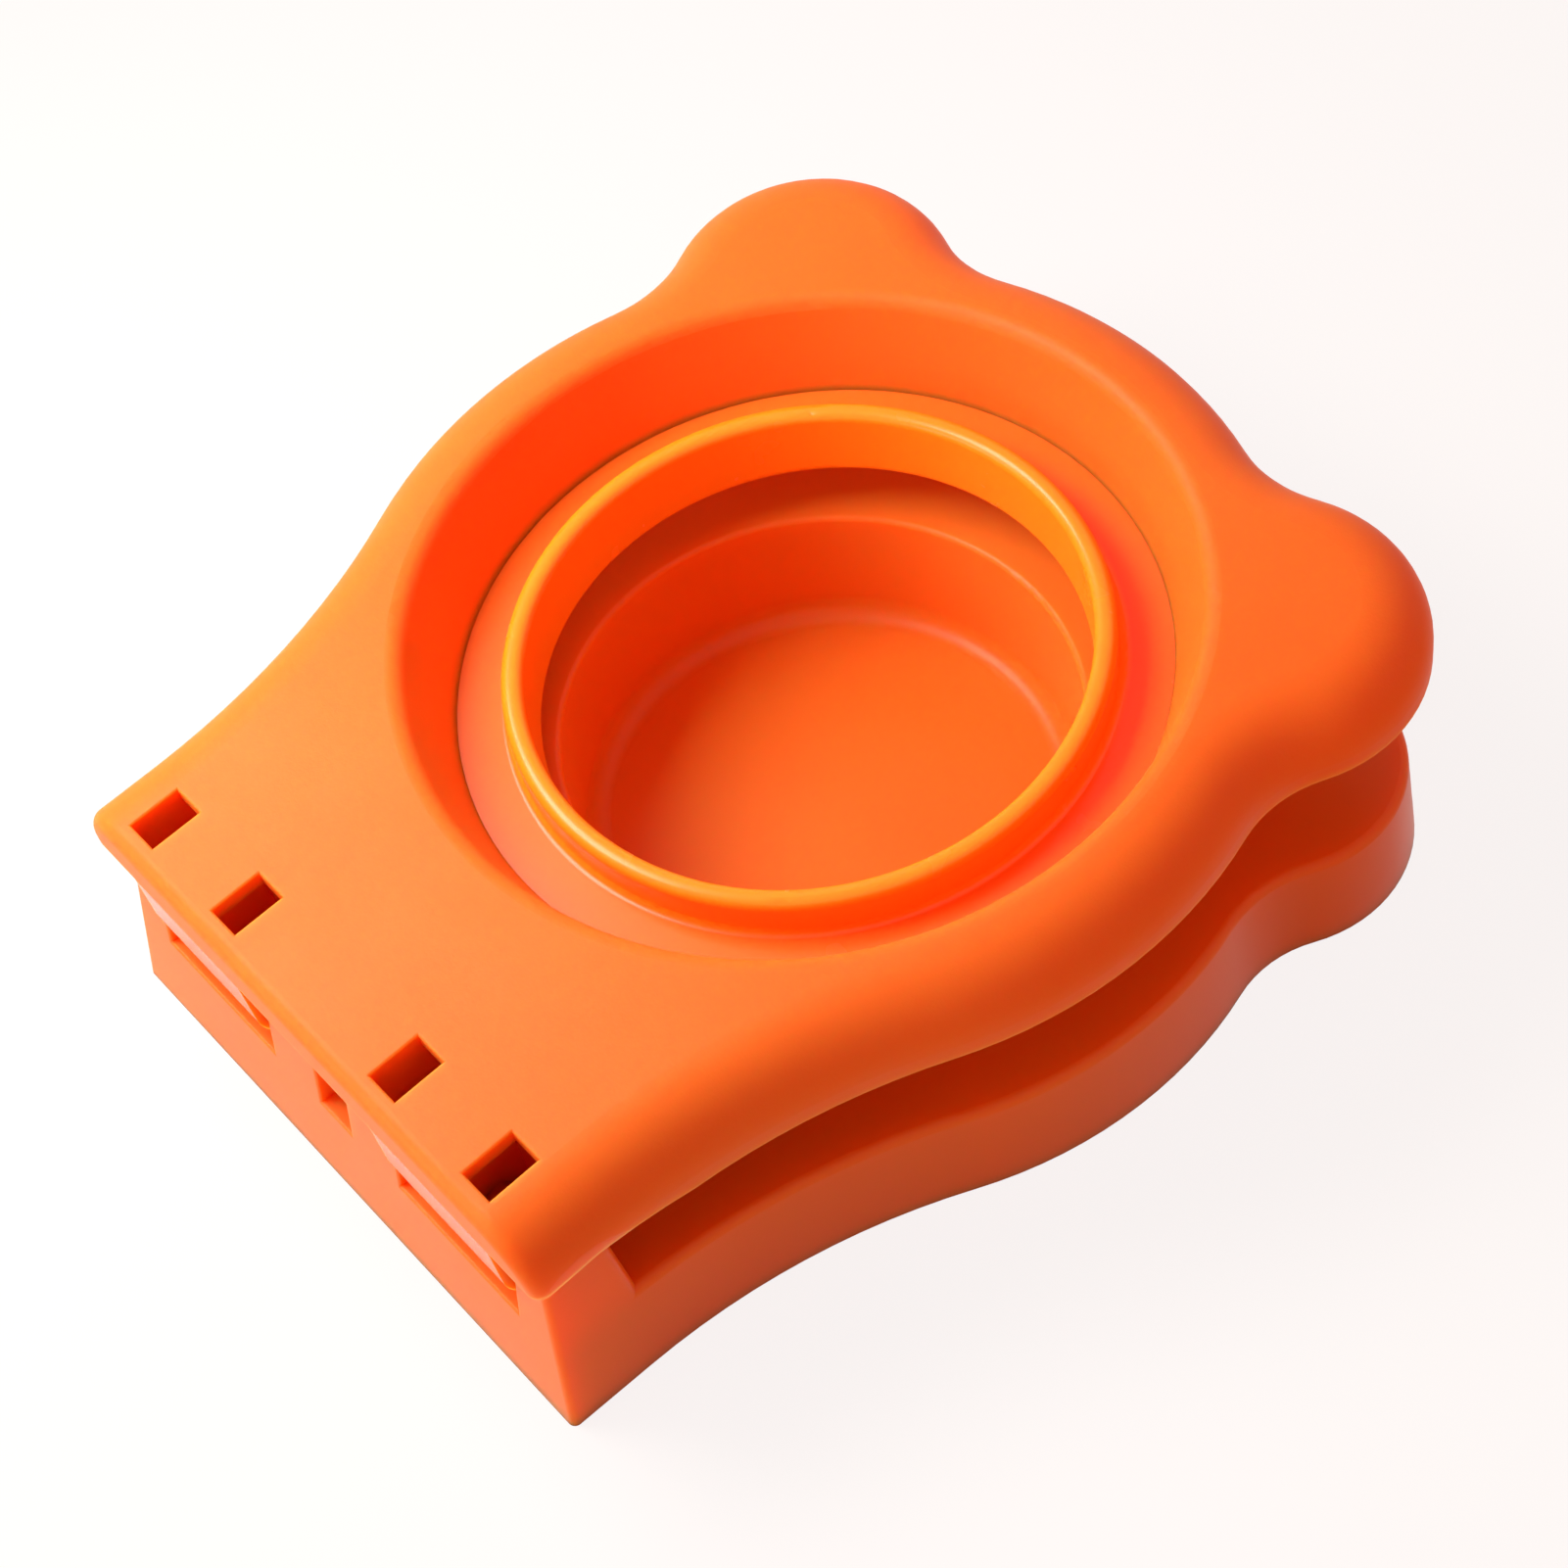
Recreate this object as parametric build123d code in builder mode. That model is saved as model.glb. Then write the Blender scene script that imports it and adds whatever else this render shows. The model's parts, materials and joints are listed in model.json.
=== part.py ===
import os
from math import acos, cos, degrees, radians, sin, sqrt, tan

from build123d import *

# Sandwich cutter and sealer: a bear-head press with a hinged lid, in millimetres.
# X runs along the hinge, +Y from the hinge to the ears and +Z up. The origin is on the
# underside of the base, on the axis of the round cutter. The lid is modelled closed and
# then opened by rest_opening about the hinge, which is how the part is stored.

# Bear-head outline, shared by the base and the lid
ear_radius = 20.2
ear_angle = 42.9
ear_sink = 4.4
ear_blend = 17.0
neck_land = 0.7
neck_straight = 3.9

# Hinge
hinge_overhang = 12.85
hinge_drop = 17.3
knuckle_radius = 6.5
knuckle_inner_end = 13.45
knuckle_outer_end = 35.8
knuckle_wall = 1.9
knuckle_web = 4.0
knuckle_side_gap = 0.4
pin_diameter = 4.0
pin_running_gap = 0.08
pin_seat_gap = 0.05
pin_seat_depth = 2.2
pin_end_gap = 0.2
pin_chamfer = 0.4
throat_squeeze = 0.6
rest_opening = 4.0

# Lid
lid_land = 2.5
lid_skirt_depth = 11.0
lid_heel_depth = 9.0
lid_heel_flat = 9.0
lid_heel_length = 22.0
lid_plate = 2.3
lid_wall = 1.8
lid_edge_roll = 8.5
lid_rear_roll = 2.0
lid_rear_inner_roll = 0.6
slot_width = 4.85
slot_land = 0.95
slot_rim_roll = 0.35
lid_rib_thickness = 1.6
lid_rib_depth = 5.0

# Funnel in the lid, and the seat for the cutter ring at its foot
funnel_depth = 13.5
funnel_flare = 4.3
funnel_wall = 2.0
funnel_rim_roll = 2.4
ring_seat_ledge = 1.1
ring_fit_gap = 0.1
collar_length = 3.2
lug_reach = 0.7
lug_height = 0.9
lug_angle = 14.0
lug_count = 4

# Cutter ring
ring_floor = 2.0
ring_bore_radius = 35.5
ring_bore_draft = 3.0
ring_wall = 3.4
ring_groove_width = 6.8
ring_root_fillet = 1.0
bead_height = 6.0
bead_roll_share = 0.47
seal_drop = 4.9
blade_thickness = 1.2
blade_tip = 0.4
blade_setback = 0.8
blade_gap = 0.3
seal_gap = 0.8
crimp_count = 40
crimp_width = 1.3
crimp_depth = 2.0
crimp_bite = 0.3

# Base
base_flare = 0.35
base_draft = 7.0
base_wall = 2.2
base_corner = 1.0
deck_height = 14.5
deck_edge_fillet = 1.2
tower_rear_depth = 8.08
tower_front_depth = 7.85
tower_head_radius = 8.2
tower_head_gap = 0.3
tower_front_corner = 1.5
window_rim_roll = 0.4
centre_notch_half_width = 3.2
post_core_wall = 2.2
anvil_height = 6.0
anvil_land_in = 1.5
anvil_land_out = 1.6
anvil_draft = 8.0
anvil_edge_fillet = 0.8
well_floor = 2.2
well_draft = 4.0
well_floor_fillet = 3.0
base_rib_count = 8
base_rib_thickness = 1.6
base_rib_lift = 1.5

# Every cut runs this far past the face that it opens
overrun = 1.0

# Levels, from the anvil up to the lid top, with the lid closed
anvil_top = deck_height + anvil_height
seal_level = anvil_top + seal_gap
seat_level = seal_level + seal_drop
bead_top = seat_level + bead_height
lid_top_height = seat_level + funnel_depth
lid_foot = lid_top_height - lid_skirt_depth
plate_underside = lid_top_height - lid_plate
hinge_height = lid_top_height - hinge_drop

# Radii and distances, from the bore of the cutter ring out to the head and the hinge
bore_top_radius = ring_bore_radius + (bead_top - seal_level) * tan(radians(ring_bore_draft))
ring_outer_radius = ring_bore_radius + ring_wall
bead_roll = bead_roll_share * (ring_outer_radius - bore_top_radius)
funnel_foot_radius = ring_outer_radius + ring_groove_width
funnel_top_radius = funnel_foot_radius + funnel_flare
seat_radius = funnel_foot_radius + ring_seat_ledge
blade_radius = seat_radius - ring_fit_gap - blade_setback
head_radius = funnel_top_radius + lid_land + lid_edge_roll
neck_half_width = knuckle_outer_end + neck_land + lid_edge_roll
hinge_setback = head_radius + hinge_overhang
hinge_y = -hinge_setback
lid_rear = hinge_setback + knuckle_radius
base_rear = hinge_setback + tower_rear_depth
base_half_width = neck_half_width + base_flare
notch_inner = knuckle_inner_end - knuckle_side_gap
notch_outer = knuckle_outer_end + knuckle_side_gap
hinge_axis = Axis((0, hinge_y, hinge_height), (1, 0, 0))


def bear_outline(inset, half_width, reach):
    """Bear-head outline drawn in by inset, with a square-ended neck that runs back to reach."""
    head = head_radius - inset
    ear = ear_radius - inset
    half = half_width - inset
    ear_distance = head_radius - ear_sink
    blend_end = hinge_setback - neck_straight
    blend = (blend_end**2 + half_width**2 - head_radius**2) / (2 * (head_radius - half_width))
    crossing = degrees(acos((head**2 + ear_distance**2 - ear**2) / (2 * head * ear_distance)))
    with BuildSketch() as outline:
        Circle(head)
        for side in (-1, 1):
            ear_x = side * ear_distance * cos(radians(ear_angle))
            with Locations((ear_x, ear_distance * sin(radians(ear_angle)))):
                Circle(ear)
        for side in (-1, 1):
            for turn in (ear_angle - crossing, ear_angle + crossing):
                notch = (side * head * cos(radians(turn)), head * sin(radians(turn)))
                fillet(outline.vertices().sort_by_distance(notch)[0], ear_blend + inset)
        with Locations((0, -reach / 2)):
            Rectangle(2 * half, reach)
        for side in (-1, 1):
            root = (side * half, -sqrt(head**2 - half**2))
            fillet(outline.vertices().sort_by_distance(root)[0], blend + inset)
    return outline.sketch


def drafted_form(inset, reach, height):
    """Bear-head block for the base, from the floor up, with walls that lean in by base_draft."""
    lean = height * tan(radians(base_draft))
    with BuildPart() as form:
        with BuildSketch():
            add(bear_outline(inset, base_half_width, reach))
        with BuildSketch(Plane.XY.offset(height)):
            add(bear_outline(inset + lean, base_half_width, reach - lean))
        loft(ruled=True)
    return form.part


def lid_form(inset, top, foot, rear_roll):
    """Lid drawn in by inset: a wide roll round the head and neck, and a tight one behind."""
    rear = lid_rear - inset
    with BuildPart() as form:
        with BuildSketch(Plane.XY.offset(foot)):
            add(bear_outline(inset, neck_half_width, rear + 2 * lid_edge_roll))
        extrude(amount=top - foot)
        fillet(form.faces().sort_by(Axis.Z)[-1].edges(), lid_edge_roll - inset)
        split(bisect_by=Plane.XZ.offset(rear), keep=Keep.BOTTOM)

        # All edges of the rear face but its foot
        rear_edges = form.faces().sort_by(Axis.Y)[0].edges().sort_by(Axis.Z)
        fillet(rear_edges[1:], rear_roll)
    return form.part


def knuckle_section():
    """Outside of a knuckle seen along the hinge: a round barrel under straight walls."""
    with BuildSketch() as section:
        with BuildLine():
            Polyline(
                (hinge_y - knuckle_radius, hinge_height),
                (hinge_y - knuckle_radius, lid_top_height - lid_rear_roll),
                (hinge_y - knuckle_radius + lid_rear_roll, lid_top_height - lid_plate / 2),
                (hinge_y + knuckle_radius, lid_top_height - lid_plate / 2),
                (hinge_y + knuckle_radius, hinge_height),
                close=True,
            )
        make_face()
        with Locations((hinge_y, hinge_height)):
            Circle(knuckle_radius)
    return section.sketch


def knuckle_hollow():
    """Inside of a knuckle: the same barrel drawn in by its wall, up to the lid plate."""
    radius = knuckle_radius - knuckle_wall
    with BuildSketch() as section:
        with Locations((hinge_y, hinge_height)):
            Circle(radius)
            Rectangle(
                2 * radius,
                plate_underside - hinge_height,
                align=(Align.CENTER, Align.MIN),
            )
    return section.sketch


# Lid: rolled shell, funnel with the ring seat, and two hollow hinge knuckles
with BuildPart() as lid:
    add(lid_form(0, lid_top_height, lid_foot, lid_rear_roll))
    add(
        lid_form(lid_wall, plate_underside, lid_foot - overrun, lid_rear_inner_roll),
        mode=Mode.SUBTRACT,
    )

    # The skirt is cut back over the hinge so that the heel swings clear of the tower
    heel_level = lid_top_height - lid_heel_depth
    with BuildSketch(Plane.YZ.offset(-head_radius)):
        with BuildLine():
            Polyline(
                (-lid_rear - overrun, lid_foot - overrun),
                (-lid_rear - overrun, heel_level),
                (-lid_rear + lid_heel_flat, heel_level),
                (-lid_rear + lid_heel_length, lid_foot),
                (-lid_rear + lid_heel_length, lid_foot - overrun),
                close=True,
            )
        make_face()
    extrude(amount=2 * head_radius, mode=Mode.SUBTRACT)

    # Knuckles, and the webs that close them above the posts of the base
    for side in (-1, 1):
        start = min(side * knuckle_inner_end, side * knuckle_outer_end)
        with BuildSketch(Plane.YZ.offset(start)):
            add(knuckle_section())
        extrude(amount=knuckle_outer_end - knuckle_inner_end)
        for near, far in (
            (knuckle_inner_end - knuckle_wall, knuckle_inner_end),
            (knuckle_outer_end, knuckle_outer_end + knuckle_wall),
        ):
            with BuildSketch(Plane.YZ.offset(min(side * near, side * far))):
                add(knuckle_section())
                with Locations((hinge_y, heel_level)):
                    Rectangle(
                        2 * lid_heel_length,
                        2 * lid_heel_length,
                        align=(Align.CENTER, Align.MAX),
                        mode=Mode.SUBTRACT,
                    )
                with Locations((hinge_y, hinge_height)):
                    Circle(tower_head_radius + tower_head_gap, mode=Mode.SUBTRACT)
            extrude(amount=knuckle_wall)

    # Stiffening ribs run from the knuckles to the funnel
    knuckle_middle = (knuckle_inner_end + knuckle_outer_end) / 2
    rib_start = hinge_y + knuckle_radius - knuckle_wall / 2
    for rib_x in (-knuckle_outer_end, -knuckle_middle, knuckle_middle, knuckle_outer_end):
        rib_length = -sqrt(funnel_foot_radius**2 - rib_x**2) - rib_start
        with BuildSketch(Plane.XY.offset(plate_underside - lid_rib_depth)):
            with Locations((rib_x, rib_start)):
                Rectangle(lid_rib_thickness, rib_length, align=(Align.CENTER, Align.MIN))
        extrude(amount=lid_rib_depth + lid_plate / 2)

    # Funnel and collar
    collar_foot = seat_level - collar_length
    with BuildSketch(Plane.XZ):
        with BuildLine():
            Polyline(
                (0, lid_top_height - lid_plate / 2),
                (funnel_top_radius + funnel_wall, lid_top_height - lid_plate / 2),
                (seat_radius + funnel_wall, seat_level),
                (seat_radius + funnel_wall, collar_foot),
                (0, collar_foot),
                close=True,
            )
        make_face()
    revolve(axis=Axis.Z)
    with BuildSketch(Plane.XZ):
        with BuildLine():
            Polyline(
                (0, lid_top_height),
                (funnel_top_radius, lid_top_height),
                (funnel_foot_radius, seat_level),
                (seat_radius, seat_level),
                (seat_radius, collar_foot - overrun),
                (0, collar_foot - overrun),
                close=True,
            )
        make_face()
    revolve(axis=Axis.Z, mode=Mode.SUBTRACT)
    rim = (0, funnel_top_radius, lid_top_height)
    fillet(lid.edges().sort_by_distance(rim)[0], funnel_rim_roll)

    # Snap lugs under the rim of the cutter ring
    lug_top = seat_level - ring_floor - ring_fit_gap
    for lug in range(lug_count):
        turn = 360 * lug / lug_count + lug_angle
        with BuildSketch(Plane.XZ.rotated((0, 0, turn))):
            with BuildLine():
                Polyline(
                    (seat_radius + funnel_wall / 2, lug_top),
                    (seat_radius - lug_reach, lug_top),
                    (seat_radius, lug_top - lug_height),
                    (seat_radius + funnel_wall / 2, lug_top - lug_height),
                    close=True,
                )
            make_face()
        revolve(axis=Axis.Z, revolution_arc=lug_angle)

    # Hollow the knuckles to each side of the web that the pin runs in
    for side in (-1, 1):
        for near, far in (
            (knuckle_inner_end, knuckle_middle - knuckle_web / 2),
            (knuckle_middle + knuckle_web / 2, knuckle_outer_end),
        ):
            with BuildSketch(Plane.YZ.offset(min(side * near, side * far))):
                add(knuckle_hollow())
            extrude(amount=far - near, mode=Mode.SUBTRACT)
        with BuildSketch(Plane.YZ.offset(side * knuckle_middle)):
            with Locations((hinge_y, hinge_height)):
                Circle(pin_diameter / 2 + pin_running_gap)
        extrude(amount=knuckle_web, both=True, mode=Mode.SUBTRACT)

    # Slots in the top, over both ends of each knuckle
    slot_length = 2 * (knuckle_radius - lid_rear_roll - slot_land)
    slot_middles = (
        knuckle_inner_end + slot_width / 2,
        knuckle_outer_end - slot_width / 2,
    )
    with BuildSketch(Plane.XY.offset(plate_underside)):
        with Locations([(side * x, hinge_y) for side in (-1, 1) for x in slot_middles]):
            Rectangle(slot_width, slot_length)
    extrude(amount=lid_plate, mode=Mode.SUBTRACT)
    fillet(lid.edges(Select.LAST).group_by(Axis.Z)[-1], slot_rim_roll)


# Cutter ring: glossy floor, bead, seal tube, crimp ribs and the cutting blade
with BuildPart() as cutter_ring:
    floor_underside = seat_level - ring_floor
    blade_foot = anvil_top + blade_gap
    with BuildSketch(Plane.XZ) as ring_section:
        with BuildLine():
            Polyline(
                (ring_bore_radius, seal_level),
                (bore_top_radius, bead_top),
                (ring_outer_radius, bead_top),
                (ring_outer_radius, seat_level),
                (seat_radius - ring_fit_gap, seat_level),
                (seat_radius - ring_fit_gap, floor_underside),
                (blade_radius, floor_underside),
                (blade_radius, blade_foot),
                (blade_radius - blade_tip, blade_foot),
                (blade_radius - blade_thickness, floor_underside),
                (ring_outer_radius, floor_underside),
                (ring_outer_radius, seal_level),
                close=True,
            )
        make_face()
        for corner, roll in (
            ((bore_top_radius, bead_top), bead_roll),
            ((ring_outer_radius, bead_top), bead_roll),
            ((ring_outer_radius, seat_level), ring_root_fillet),
            ((ring_bore_radius, seal_level), bead_roll),
            ((ring_outer_radius, seal_level), bead_roll),
        ):
            fillet(ring_section.vertices().sort_by_distance(corner)[0], roll)
    revolve(axis=Axis.Z)
    blade_root = blade_radius - blade_thickness
    crimp_length = blade_root - ring_outer_radius + 2 * crimp_bite
    with Locations((0, 0, floor_underside + crimp_bite)):
        with PolarLocations((blade_root + ring_outer_radius) / 2, crimp_count):
            Box(
                crimp_length,
                crimp_width,
                crimp_depth + crimp_bite,
                align=(Align.CENTER, Align.CENTER, Align.MAX),
            )


# Hinge pins, pressed down into the posts of the base
pin_length = notch_outer - notch_inner + 2 * (pin_seat_depth - pin_end_gap)
pins = {}
for side, name in ((-1, "hinge_pin_left"), (1, "hinge_pin_right")):
    with BuildPart() as hinge_pin:
        with BuildSketch(Plane.YZ.offset(side * knuckle_middle - pin_length / 2)):
            with Locations((hinge_y, hinge_height)):
                Circle(pin_diameter / 2)
        extrude(amount=pin_length)
        chamfer(hinge_pin.edges().filter_by(GeomType.CIRCLE), pin_chamfer)
    pins[name] = hinge_pin


# Hinge tower: four drafted posts with round heads, and keyhole seats for the pin ends
with BuildPart() as tower:
    tower_middle = hinge_y + (tower_front_depth - tower_rear_depth) / 2
    tower_depth = tower_front_depth + tower_rear_depth
    tower_top = hinge_height + tower_head_radius
    with BuildSketch():
        with Locations((0, tower_middle)):
            Rectangle(2 * base_half_width, tower_depth)
    extrude(amount=tower_top, taper=base_draft)
    for end, roll in ((0, base_corner), (-1, tower_front_corner)):
        upright_edges = tower.edges().filter_by(Plane.XY, reverse=True)
        fillet(upright_edges.group_by(Axis.Y)[end], roll)
    with BuildSketch(Plane.YZ.offset(-base_half_width)):
        with Locations((hinge_y, hinge_height)):
            Rectangle(2 * tower_depth, hinge_height, align=(Align.CENTER, Align.MAX))
            Circle(tower_head_radius)
    extrude(amount=2 * base_half_width, mode=Mode.INTERSECT)
    with BuildSketch(Plane.XY.offset(deck_height)):
        with Locations((0, tower_middle)):
            Rectangle(2 * centre_notch_half_width, 2 * tower_depth)
        for side in (-1, 1):
            with Locations((side * (notch_inner + notch_outer) / 2, tower_middle)):
                Rectangle(notch_outer - notch_inner, 2 * tower_depth)
    extrude(amount=tower_top, mode=Mode.SUBTRACT)

    # The windows between the posts have rounded edges on the rear wall
    window_middle = (deck_height + hinge_height) / 2
    rim_points = []
    for side in (-1, 1):
        for x in (centre_notch_half_width, notch_inner, notch_outer):
            rim_points.append((side * x, window_middle))
    for x in (-(notch_inner + notch_outer) / 2, 0, (notch_inner + notch_outer) / 2):
        rim_points.append((x, deck_height))
    window_rims = []
    for x, z in rim_points:
        rim_point = (x, hinge_y - tower_rear_depth + z * tan(radians(base_draft)), z)
        window_rims.append(tower.edges().sort_by_distance(rim_point)[0])
    fillet(window_rims, window_rim_roll)

    seat_radius_of_pin = pin_diameter / 2 + pin_seat_gap
    for side in (-1, 1):
        for face in (notch_inner - pin_seat_depth, notch_outer):
            start = min(side * face, side * (face + pin_seat_depth))
            with BuildSketch(Plane.YZ.offset(start)):
                with Locations((hinge_y, hinge_height)):
                    Circle(seat_radius_of_pin)
                    Rectangle(
                        pin_diameter - throat_squeeze,
                        tower_top,
                        align=(Align.CENTER, Align.MIN),
                    )
            extrude(amount=pin_seat_depth, mode=Mode.SUBTRACT)


# Space moulded into the base from below, between the bowl, the ribs and the outer wall
with BuildPart() as base_core:
    add(drafted_form(base_wall, base_rear - base_wall, deck_height - base_wall))
    anvil_radius = blade_radius + anvil_land_out
    well_radius = ring_bore_radius - anvil_land_in
    well_foot_radius = well_radius - (anvil_top - well_floor) * tan(radians(well_draft))
    with BuildSketch(Plane.XY.offset(deck_height - base_wall - overrun)):
        Circle(anvil_radius - base_wall)
    extrude(amount=anvil_height + overrun)
    core_foot = deck_height - base_wall - overrun
    core_top = hinge_height - pin_diameter / 2 - post_core_wall
    core_depth = tower_depth - 2 * core_top * tan(radians(base_draft)) - 2 * post_core_wall
    core_width = notch_inner - pin_seat_depth - centre_notch_half_width - 2 * post_core_wall
    post_middle = (notch_inner - pin_seat_depth + centre_notch_half_width) / 2
    with BuildSketch(Plane.XY.offset(core_foot)):
        with Locations((-post_middle, tower_middle), (post_middle, tower_middle)):
            Rectangle(core_width, core_depth)
    extrude(amount=core_top - core_foot)
    with BuildSketch(Plane.XZ):
        with BuildLine():
            Polyline(
                (0, -overrun),
                (well_foot_radius + base_wall, -overrun),
                (well_foot_radius + base_wall, 0),
                (well_radius + base_wall, anvil_top),
                (0, anvil_top),
                close=True,
            )
        make_face()
    revolve(axis=Axis.Z, mode=Mode.SUBTRACT)
    with Locations((0, 0, base_rib_lift)):
        with PolarLocations(0, base_rib_count, start_angle=180 / base_rib_count):
            Box(
                2 * base_rear,
                base_rib_thickness,
                anvil_top,
                align=(Align.MIN, Align.CENTER, Align.MIN),
                mode=Mode.SUBTRACT,
            )


# Base: bear-head tray with the raised cutting anvil, the filling well and the hinge tower,
# in which the rear end of the tray is buried
with BuildPart() as base:
    add(drafted_form(0, hinge_setback, deck_height))
    fillet(base.faces().sort_by(Axis.Z)[-1].edges(), deck_edge_fillet)
    add(tower.part)
    with BuildSketch(Plane.XZ):
        with BuildLine():
            Polyline(
                (0, deck_height - overrun),
                (anvil_radius + anvil_height * tan(radians(anvil_draft)), deck_height - overrun),
                (anvil_radius + anvil_height * tan(radians(anvil_draft)), deck_height),
                (anvil_radius, anvil_top),
                (0, anvil_top),
                close=True,
            )
        make_face()
    revolve(axis=Axis.Z)
    with BuildSketch(Plane.XZ) as well_section:
        with BuildLine():
            Polyline(
                (0, well_floor),
                (well_foot_radius, well_floor),
                (well_radius, anvil_top),
                (0, anvil_top),
                close=True,
            )
        make_face()
        well_corner = (well_foot_radius, well_floor)
        fillet(well_section.vertices().sort_by_distance(well_corner)[0], well_floor_fillet)
    revolve(axis=Axis.Z, mode=Mode.SUBTRACT)
    for edge_radius in (anvil_radius, well_radius):
        land_edge = (0, edge_radius, anvil_top)
        fillet(base.edges().sort_by_distance(land_edge)[0], anvil_edge_fillet)
    add(base_core.part, mode=Mode.SUBTRACT)


# Open the lid and its ring to the resting angle
lid.part = lid.part.rotate(hinge_axis, rest_opening)
cutter_ring.part = cutter_ring.part.rotate(hinge_axis, rest_opening)

os.makedirs("parts", exist_ok=True)
for name, piece in {"base": base, "lid": lid, "cutter_ring": cutter_ring, **pins}.items():
    piece.part.label = name
    export_step(piece.part, f"parts/{name}.step")
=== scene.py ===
import json
from math import pi, radians

import bpy
from mathutils import Euler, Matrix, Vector

# Sandwich cutter and sealer in bright orange plastic: finishes, studio and camera.
# Lengths are in metres, angles in degrees and lamp powers in watts.

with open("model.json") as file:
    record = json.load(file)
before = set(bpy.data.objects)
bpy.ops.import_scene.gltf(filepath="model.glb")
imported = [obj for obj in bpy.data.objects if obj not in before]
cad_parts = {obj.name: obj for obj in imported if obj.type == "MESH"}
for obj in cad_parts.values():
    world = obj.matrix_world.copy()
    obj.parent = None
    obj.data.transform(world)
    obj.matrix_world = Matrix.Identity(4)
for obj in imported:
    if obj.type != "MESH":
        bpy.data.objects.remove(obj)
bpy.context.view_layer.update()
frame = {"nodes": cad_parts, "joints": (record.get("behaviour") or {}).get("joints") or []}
nodes = frame["nodes"]
hinge = Vector(frame["joints"][0]["pos_m"])

MM = 0.001
METRE = 1.0

# Camera, at the photograph's viewing angle
camera_place = Vector((0.1937, -0.1377, 0.3267))
camera_turn = (36.305, 5.447, 48.692)
camera_lens_mm = 68.83
camera_sensor_mm = 36.0

# Lamps: a small soft one above the hinge and to its left, and a low one further behind
key_place = Vector((-0.13, -0.105, 0.225))
key_aim = Vector((-0.03, -0.05, 0.04))
key_width = 0.16
key_height = 0.12
key_power = 0.92
key_colour = (1.0, 0.98, 0.9)
rear_place = Vector((-0.12, -0.42, 0.13))
rear_aim = Vector((0.0, -0.09, 0.02))
rear_width = 0.3
rear_height = 0.2
rear_power = 0.55
rear_colour = (1.0, 0.96, 0.9)

# Warm fill light all round, and the plain white that shows as the background
fill_colour = (1.0, 0.37, 0.15, 1.0)
fill_strength = 0.62
background_white = (1.0, 1.0, 1.0, 1.0)
background_strength = 1.0

# Floor: how much of what shows of it is plain white, the rest being its own lit colour
floor_size = 6.0
floor_colour = (0.86, 0.82, 0.8, 1.0)
floor_roughness = 0.9
floor_lift = 0.86

# Shades of the orange plastic
orange = (0.95, 0.176, 0.018, 1.0)
orange_deep = (0.93, 0.156, 0.013, 1.0)
orange_pale = (0.97, 0.196, 0.024, 1.0)
groove_orange = (0.97, 0.18, 0.018, 1.0)
# Lighter, yellower orange painted on the ring's bead and bore as a highlight
bead_highlight_orange = (0.98, 0.29, 0.012, 1.0)
pin_orange = (0.93, 0.175, 0.012, 1.0)

# Light inside the plastic: the share that scatters there, how deep it goes, and how far red,
# green and blue go as shares of that depth
shell_glow = 0.85
ring_glow = 0.5
glow_depth = 10.0 * MM
glow_reach = (1.0, 0.35, 0.1)

# Shine at the surface: refraction of polypropylene and of acetal, and how strong the shine is
polypropylene_index = 1.49
acetal_index = 1.48
shell_shine = 0.17
ring_shine = 0.3
pin_shine = 0.5

# Mould finish of each piece: roughness, depth of its grain, and how much its shade changes
lid_roughness = 0.48
lid_grain = 0.02 * MM
base_roughness = 0.36
base_grain = 0.006 * MM
shell_flow = 0.5
ring_roughness = 0.26
ring_grain = 0.002 * MM
ring_flow = 0.2

# Noise of the grain, of the clouds in the roughness and of the flow: spots to a metre, finer
# layers, and how strong these are
grain_noise = (2600.0, 2.0, 0.6)
cloud_noise = (90.0, 3.0, 0.55)
flow_noise = (26.0, 2.0, 0.5)

# What the noise does: the middle, where the roughness stays as it is, the change of roughness
# from the least noise to the most, and the noise where the shade is deepest and palest
noise_middle = 0.5
cloud_change = 0.08
flow_deepest = 0.3
flow_palest = 0.7

# Polished barrels of the lid round the hinge
polish_radius = 10.3 * MM
polish_edge = 0.5 * MM
polish_roughness = 0.16

# Painted highlight on the bead of the cutter ring: its lighter, yellower colour fades out over the
# bead's foot
bead_highlight_radius = 39.2 * MM
bead_highlight_edge = 1.0 * MM

# Ejector marks, fine round lines on a circle round the middle of the undersides, and the Z of
# a face's normal where a mark is full and where there is none
mark_sectors = 8
mark_ring_radius = 54.0 * MM
mark_radius = 2.4 * MM
mark_line = 0.35 * MM
mark_depth = 0.12 * MM
underside_full = -0.9
underside_none = -0.7

# Turned pins: spots to a metre across and along their fine lines, the scale, finer layers and
# strength of these, and the least and most roughness
turning_spots = (6000.0, 80.0, 80.0)
turning_noise = (1.0, 2.0, 0.5)
turning_smooth = 0.2
turning_rough = 0.4


def new_group(name, inputs, outputs):
    """A shader node group, the sockets that bring its inputs, and those that take its outputs."""
    group = bpy.data.node_groups.new(name, "ShaderNodeTree")
    for label, kind, value in inputs:
        socket = group.interface.new_socket(name=label, in_out="INPUT", socket_type=kind)
        socket.default_value = value
    for label, kind in outputs:
        group.interface.new_socket(name=label, in_out="OUTPUT", socket_type=kind)
    start = group.nodes.new("NodeGroupInput")
    end = group.nodes.new("NodeGroupOutput")
    return group, start.outputs, end.inputs


def feed(tree, socket, value):
    """Gives a socket its value, or links it to the socket that the value comes from."""
    if isinstance(value, bpy.types.NodeSocket):
        tree.links.new(value, socket)
    else:
        socket.default_value = value


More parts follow.
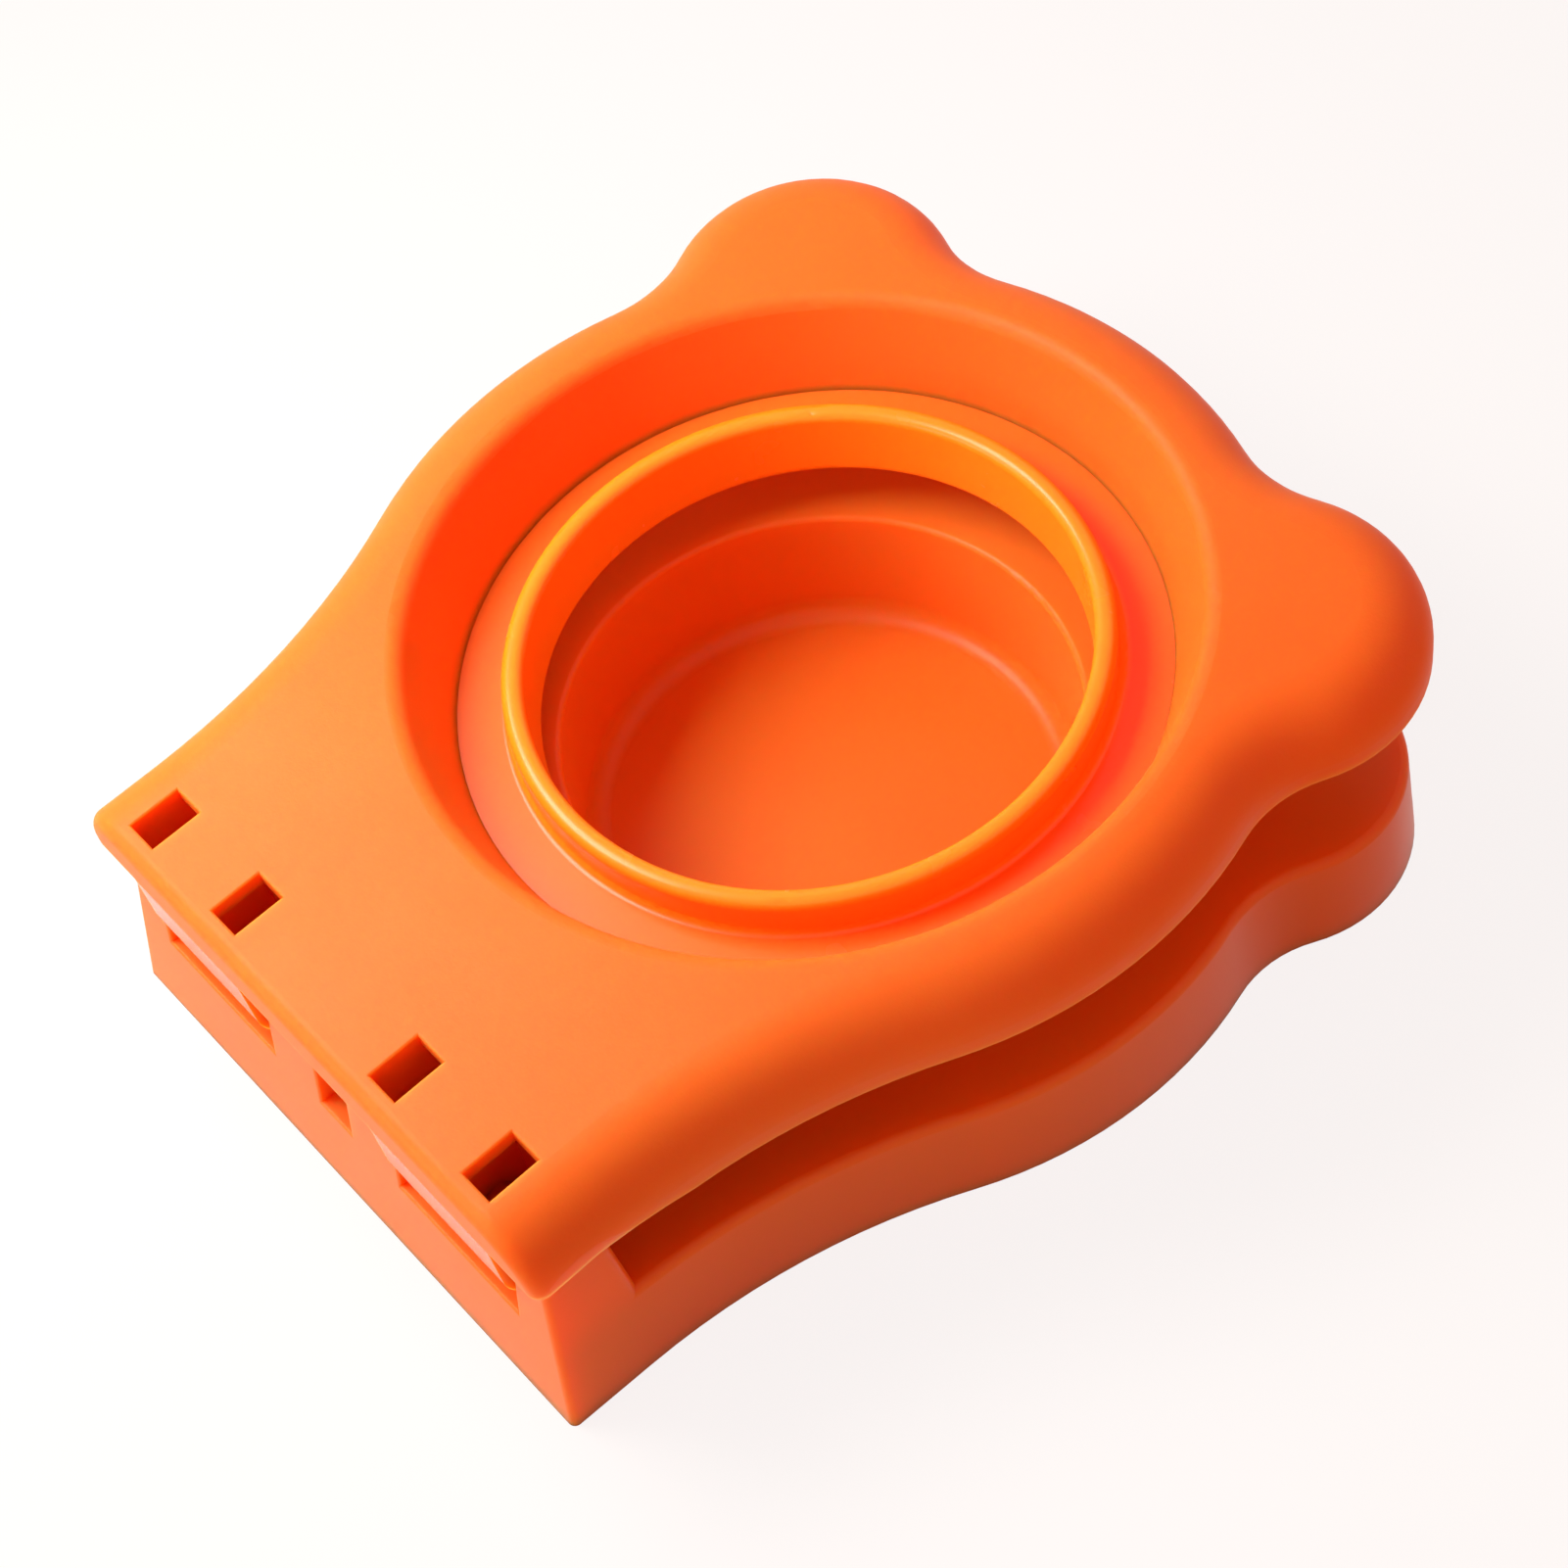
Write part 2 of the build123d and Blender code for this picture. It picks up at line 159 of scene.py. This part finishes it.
def math_node(tree, operation, first, second=0.0):
    """A math node on one or two values, and its result."""
    node = tree.nodes.new("ShaderNodeMath")
    node.operation = operation
    feed(tree, node.inputs[0], first)
    feed(tree, node.inputs[1], second)
    return node.outputs["Value"]


def range_node(tree, value, start, stop, first=0.0, last=1.0, interpolation="LINEAR"):
    """Goes from first to last while the value goes from start to stop."""
    node = tree.nodes.new("ShaderNodeMapRange")
    node.interpolation_type = interpolation
    feed(tree, node.inputs["Value"], value)
    feed(tree, node.inputs["From Min"], start)
    feed(tree, node.inputs["From Max"], stop)
    feed(tree, node.inputs["To Min"], first)
    feed(tree, node.inputs["To Max"], last)
    return node.outputs["Result"]


def fade_node(tree, value, full, none):
    """Goes smoothly from 1 where the value is full to 0 where it is none."""
    return range_node(tree, value, full, none, 1.0, 0.0, "SMOOTHSTEP")


def colour_node(tree, share, first, second):
    """Blend of two colours: all of the first where the share is 0, of the second where it is 1."""
    node = tree.nodes.new("ShaderNodeMix")
    node.data_type = "RGBA"
    feed(tree, node.inputs["Factor"], share)
    feed(tree, node.inputs["A"], first)
    feed(tree, node.inputs["B"], second)
    return node.outputs["Result"]


def coordinates(tree, kind="Object"):
    """Texture coordinates of one kind."""
    return tree.nodes.new("ShaderNodeTexCoord").outputs[kind]


def coordinate_parts(tree, kind="Object"):
    """X, Y and Z of the texture coordinates of one kind."""
    parts = tree.nodes.new("ShaderNodeSeparateXYZ")
    feed(tree, parts.inputs["Vector"], coordinates(tree, kind))
    return parts.outputs


def length_node(tree, first, second):
    """Length of the long side of a right-angled triangle, from its two short sides."""
    squares = [math_node(tree, "MULTIPLY", side, side) for side in (first, second)]
    return math_node(tree, "SQRT", math_node(tree, "ADD", *squares))


def noise_node(tree, place, scale, detail, roughness):
    """Noise at a place, from 0 to 1."""
    noise = tree.nodes.new("ShaderNodeTexNoise")
    feed(tree, noise.inputs["Vector"], place)
    feed(tree, noise.inputs["Scale"], scale)
    feed(tree, noise.inputs["Detail"], detail)
    feed(tree, noise.inputs["Roughness"], roughness)
    return noise.outputs["Fac"]


def spark_grain_group():
    """Spark-eroded grain of a mould: its height in metres, and a roughness that varies."""
    group, given, result = new_group(
        "spark_grain",
        [("Depth", "NodeSocketFloat", lid_grain), ("Roughness", "NodeSocketFloat", lid_roughness)],
        [("Height", "NodeSocketFloat"), ("Roughness", "NodeSocketFloat")],
    )
    grain = noise_node(group, coordinates(group), *grain_noise)
    feed(group, result["Height"], math_node(group, "MULTIPLY", grain, given["Depth"]))
    cloud = noise_node(group, coordinates(group), *cloud_noise)
    change = math_node(group, "SUBTRACT", cloud, noise_middle)
    change = math_node(group, "MULTIPLY", change, cloud_change)
    feed(group, result["Roughness"], math_node(group, "ADD", given["Roughness"], change))
    return group


def hinge_polish_group():
    """Mask of the smooth barrels: 1 near the hinge axis, 0 away from it."""
    group, _, result = new_group("hinge_polish", [], [("Mask", "NodeSocketFloat")])
    place = coordinate_parts(group)
    ahead = math_node(group, "SUBTRACT", place["Y"], hinge.y)
    above = math_node(group, "SUBTRACT", place["Z"], hinge.z)
    reach = length_node(group, ahead, above)
    mask = fade_node(group, reach, polish_radius - polish_edge, polish_radius + polish_edge)
    feed(group, result["Mask"], mask)
    return group


def ejector_marks_group():
    """Fine round lines that ejector pins leave on undersides, at even turns: their height."""
    group, _, result = new_group("ejector_marks", [], [("Height", "NodeSocketFloat")])
    place = coordinate_parts(group)
    sector = 2 * pi / mark_sectors
    angle = math_node(group, "ARCTAN2", place["Y"], place["X"])
    nearest = math_node(group, "ROUND", math_node(group, "DIVIDE", angle, sector))
    turned = math_node(group, "SUBTRACT", angle, math_node(group, "MULTIPLY", nearest, sector))
    radius = length_node(group, place["X"], place["Y"])
    side = math_node(group, "MULTIPLY", radius, math_node(group, "SINE", turned))
    out = math_node(group, "MULTIPLY", radius, math_node(group, "COSINE", turned))
    reach = length_node(group, side, math_node(group, "SUBTRACT", out, mark_ring_radius))
    off_line = math_node(group, "ABSOLUTE", math_node(group, "SUBTRACT", reach, mark_radius))
    line = fade_node(group, off_line, 0.0, mark_line)
    facing = coordinate_parts(group, "Normal")["Z"]
    under = fade_node(group, facing, underside_full, underside_none)
    mark = math_node(group, "MULTIPLY", line, under)
    feed(group, result["Height"], math_node(group, "MULTIPLY", mark, -mark_depth))
    return group


def flow_colour_group():
    """Slow change of shade that flowing plastic leaves: between a deep and a pale colour."""
    group, given, result = new_group(
        "flow_colour",
        [
            ("Colour", "NodeSocketColor", orange),
            ("Deep", "NodeSocketColor", orange_deep),
            ("Pale", "NodeSocketColor", orange_pale),
            ("Amount", "NodeSocketFloat", shell_flow),
        ],
        [("Colour", "NodeSocketColor")],
    )
    cloud = noise_node(group, coordinates(group), *flow_noise)
    share = range_node(group, cloud, flow_deepest, flow_palest)
    flow = colour_node(group, share, given["Deep"], given["Pale"])
    feed(group, result["Colour"], colour_node(group, given["Amount"], given["Colour"], flow))
    return group


spark_grain = spark_grain_group()
flow_colour = flow_colour_group()
hinge_polish = hinge_polish_group()
ejector_marks = ejector_marks_group()


def use_group(tree, group):
    """A node that uses one of the shared groups."""
    node = tree.nodes.new("ShaderNodeGroup")
    node.node_tree = group
    return node


def glowing_plastic(name, index, shine, glow):
    """A new material in which light scatters, with its node tree and its shader."""
    material = bpy.data.materials.new(name)
    material.use_nodes = True
    shader = material.node_tree.nodes["Principled BSDF"]
    shader.inputs["IOR"].default_value = index
    shader.inputs["Specular IOR Level"].default_value = shine
    shader.inputs["Subsurface Weight"].default_value = glow
    shader.inputs["Subsurface Radius"].default_value = glow_reach
    shader.inputs["Subsurface Scale"].default_value = glow_depth
    return material, material.node_tree, shader


def moulded_plastic(name, roughness, grain_depth, flow, colour=orange, shine=shell_shine,
                    glow=shell_glow, marks=False, polish=False):
    """Moulded orange plastic of one finish, with ejector marks or polished barrels if asked."""
    material, tree, shader = glowing_plastic(name, polypropylene_index, shine, glow)
    grain = use_group(tree, spark_grain)
    feed(tree, grain.inputs["Depth"], grain_depth)
    feed(tree, grain.inputs["Roughness"], roughness)
    height = grain.outputs["Height"]
    rough = grain.outputs["Roughness"]
    if marks:
        height = math_node(tree, "ADD", height, use_group(tree, ejector_marks).outputs["Height"])
    if polish:
        mask = use_group(tree, hinge_polish).outputs["Mask"]
        matte = math_node(tree, "SUBTRACT", 1.0, mask)
        height = math_node(tree, "MULTIPLY", height, matte)
        rough = math_node(tree, "MULTIPLY", rough, matte)
        smooth = math_node(tree, "MULTIPLY", mask, polish_roughness)
        rough = math_node(tree, "ADD", rough, smooth)
    bump = tree.nodes.new("ShaderNodeBump")
    bump.inputs["Distance"].default_value = METRE
    feed(tree, bump.inputs["Height"], height)
    feed(tree, shader.inputs["Normal"], bump.outputs["Normal"])
    feed(tree, shader.inputs["Roughness"], rough)
    shade = use_group(tree, flow_colour)
    feed(tree, shade.inputs["Colour"], colour)
    feed(tree, shade.inputs["Amount"], flow)
    feed(tree, shader.inputs["Base Color"], shade.outputs["Colour"])
    return material


def ring_plastic():
    """Glossy plastic of the cutter ring, with a painted highlight that makes its bead and bore
    lighter and yellower than its groove.
    """
    material = moulded_plastic("orange_gloss", ring_roughness, ring_grain, ring_flow,
                               colour=groove_orange, shine=ring_shine, glow=ring_glow)
    tree = material.node_tree
    colour = tree.nodes["Principled BSDF"].inputs["Base Color"]
    groove_shade = colour.links[0].from_socket
    place = coordinate_parts(tree)
    radius = length_node(tree, place["X"], place["Y"])
    # Painted highlight: a lighter, yellower orange on the bead and bore, fading out over the
    # bead's foot
    bead_highlight = fade_node(tree, radius, bead_highlight_radius, bead_highlight_radius + bead_highlight_edge)
    feed(tree, colour, colour_node(tree, bead_highlight, groove_shade, bead_highlight_orange))
    return material


def turned_plastic():
    """Orange acetal rod, with the fine lines of turning round its length, which runs along X."""
    material, tree, shader = glowing_plastic("orange_turned", acetal_index, pin_shine, shell_glow)
    stretch = tree.nodes.new("ShaderNodeMapping")
    feed(tree, stretch.inputs["Vector"], coordinates(tree))
    feed(tree, stretch.inputs["Scale"], turning_spots)
    lines = noise_node(tree, stretch.outputs["Vector"], *turning_noise)
    feed(tree, shader.inputs["Base Color"], colour_node(tree, lines, orange_deep, pin_orange))
    rough = range_node(tree, lines, 0.0, 1.0, turning_smooth, turning_rough)
    feed(tree, shader.inputs["Roughness"], rough)
    return material


def give_finish(node, material):
    """Puts one material on every slot of a carried-over node."""
    slots = nodes[node].data.materials
    for index in range(len(slots)):
        slots[index] = material


give_finish(
    "lid",
    moulded_plastic("orange_satin", lid_roughness, lid_grain, shell_flow, marks=True, polish=True),
)
give_finish(
    "base",
    moulded_plastic("orange_smooth", base_roughness, base_grain, shell_flow, marks=True),
)
give_finish("cutter_ring", ring_plastic())
pin_finish = turned_plastic()
for pin in ("hinge_pin_left", "hinge_pin_right"):
    give_finish(pin, pin_finish)


def background_rays(tree):
    """1 for the rays that show the background: from the camera, reflected and let through."""
    rays = tree.nodes.new("ShaderNodeLightPath").outputs
    seen = math_node(tree, "MAXIMUM", rays["Is Camera Ray"], rays["Is Glossy Ray"])
    return math_node(tree, "MAXIMUM", seen, rays["Is Transmission Ray"])


def studio_floor():
    """Plain pale floor that shows almost white and keeps the object's shadow."""
    bpy.ops.mesh.primitive_plane_add(size=floor_size)
    floor = bpy.context.object
    floor.name = "studio_floor"
    material = bpy.data.materials.new("studio_floor")
    material.use_nodes = True
    tree = material.node_tree
    shader = tree.nodes["Principled BSDF"]
    shader.inputs["Base Color"].default_value = floor_colour
    shader.inputs["Roughness"].default_value = floor_roughness
    glow = tree.nodes.new("ShaderNodeEmission")
    mix = tree.nodes.new("ShaderNodeMixShader")
    feed(tree, mix.inputs["Fac"], math_node(tree, "MULTIPLY", background_rays(tree), floor_lift))
    feed(tree, mix.inputs[1], shader.outputs["BSDF"])
    feed(tree, mix.inputs[2], glow.outputs["Emission"])
    feed(tree, tree.nodes["Material Output"].inputs["Surface"], mix.outputs["Shader"])
    floor.data.materials.append(material)


def studio_world():
    """Warm fill light all round, which shows white to the camera and in reflections."""
    world = bpy.data.worlds.new("studio_world")
    bpy.context.scene.world = world
    world.use_nodes = True
    tree = world.node_tree
    background = tree.nodes["Background"]
    seen = background_rays(tree)
    colour = colour_node(tree, seen, fill_colour, background_white)
    feed(tree, background.inputs["Color"], colour)
    strength = range_node(tree, seen, 0.0, 1.0, fill_strength, background_strength)
    feed(tree, background.inputs["Strength"], strength)


def soft_lamp(name, place, aim, width, height, power, colour):
    """Oblong soft light at a place, turned to the point that it lights."""
    lamp = bpy.data.lights.new(name, "AREA")
    lamp.shape = "RECTANGLE"
    lamp.size = width
    lamp.size_y = height
    lamp.energy = power
    lamp.color = colour
    light = bpy.data.objects.new(name, lamp)
    light.visible_camera = False
    bpy.context.scene.collection.objects.link(light)
    light.location = place
    light.rotation_euler = (place - aim).to_track_quat("Z", "Y").to_euler()


def camera():
    """Camera at the photograph's place."""
    data = bpy.data.cameras.new("camera")
    data.lens = camera_lens_mm
    data.sensor_width = camera_sensor_mm
    eye = bpy.data.objects.new("camera", data)
    eye.location = camera_place
    eye.rotation_euler = Euler([radians(turn) for turn in camera_turn])
    bpy.context.scene.collection.objects.link(eye)
    bpy.context.scene.camera = eye


studio_floor()
studio_world()
soft_lamp("key_light", key_place, key_aim, key_width, key_height, key_power, key_colour)
soft_lamp("rear_light", rear_place, rear_aim, rear_width, rear_height, rear_power, rear_colour)
camera()
bpy.context.scene.view_settings.view_transform = "Standard"
